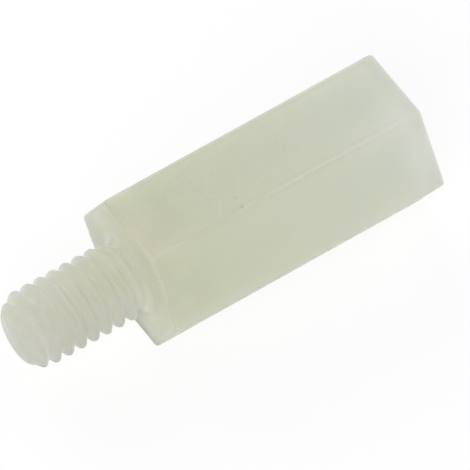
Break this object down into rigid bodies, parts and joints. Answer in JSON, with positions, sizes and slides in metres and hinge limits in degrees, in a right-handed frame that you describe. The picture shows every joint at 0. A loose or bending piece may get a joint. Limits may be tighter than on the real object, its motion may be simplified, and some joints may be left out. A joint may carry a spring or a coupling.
{
  "type": "hex standoff",
  "caption": "Moulded nylon hex standoff: a hexagonal spacer body with a threaded stud at one end and a tapped blind hole at the other.",
  "frame": {"origin": "centre of the shoulder's seat plane, where the stud's axis leaves the hexagonal body", "axes": "+X along the axis towards the tapped end, the stud points to -X, +Z is the normal of the upper flat, and the part lies on its lower flat"},
  "size_m": [0.0213, 0.008, 0.007],
  "materials": {
    "natural_nylon": "matt to satin moulded natural nylon, slightly translucent"
  },
  "bodies": {
    "root": {"standoff": "natural_nylon"}
  },
  "joints": []
}
